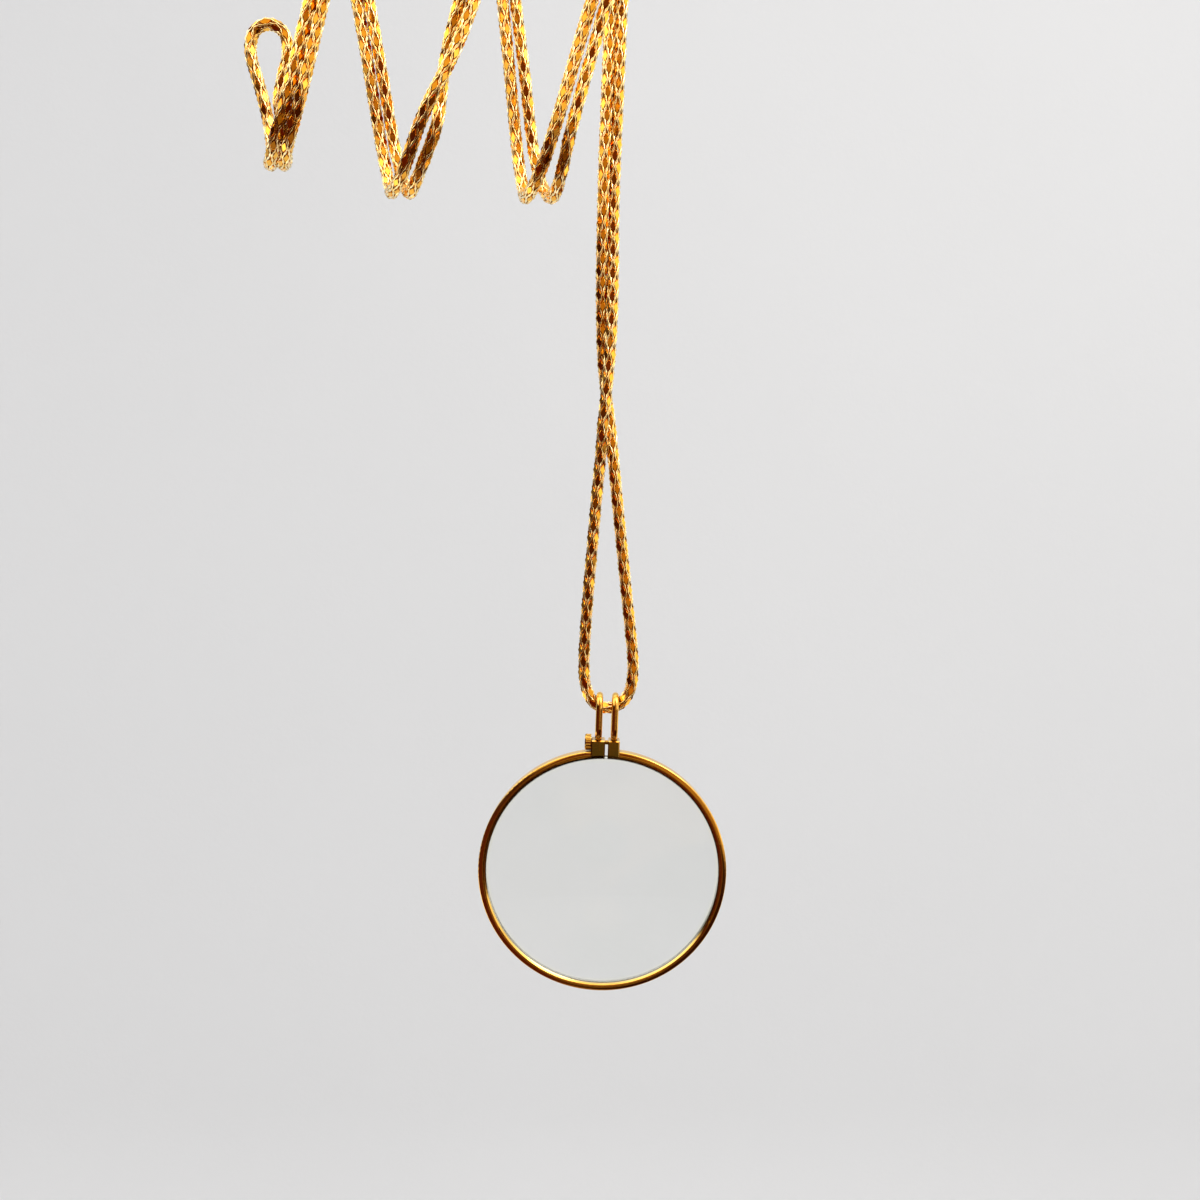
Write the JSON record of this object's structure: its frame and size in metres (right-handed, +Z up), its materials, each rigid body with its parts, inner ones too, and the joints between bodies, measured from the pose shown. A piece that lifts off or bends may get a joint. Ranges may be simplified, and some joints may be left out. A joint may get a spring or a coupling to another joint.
{
  "type": "magnifier pendant necklace",
  "caption": "Round magnifying lens in a slim split rim closed by a thumb screw, hanging by wire loops from a long slip-on chain that is doubled and wound round its support.",
  "frame": {"origin": "the seat: under the crown of the turns and midway through them, straight above the hinge line of the pendant from the front", "axes": "+Z up, -Y the front of the lens, +X to the right seen from the front"},
  "size_m": [0.0837, 0.0225, 0.1881],
  "materials": {
    "rim_gold": "polished gold plate",
    "chain_gold": "bright gold plate with cut facets",
    "lens_glass": "clear polished glass"
  },
  "bodies": {
    "chain": {"chain_hanging": "chain_gold", "chain_wound": "chain_gold"},
    "magnifier": {"rim": "rim_gold", "screw": "rim_gold", "lens": "lens_glass"}
  },
  "joints": [
    {"name": "pendant_swing", "type": "hinge", "parent": "chain", "child": "magnifier", "pos_m": [0, 0.0081, -0.1332], "axis": [1, 0, 0], "range_deg": [-90, 90]}
  ]
}
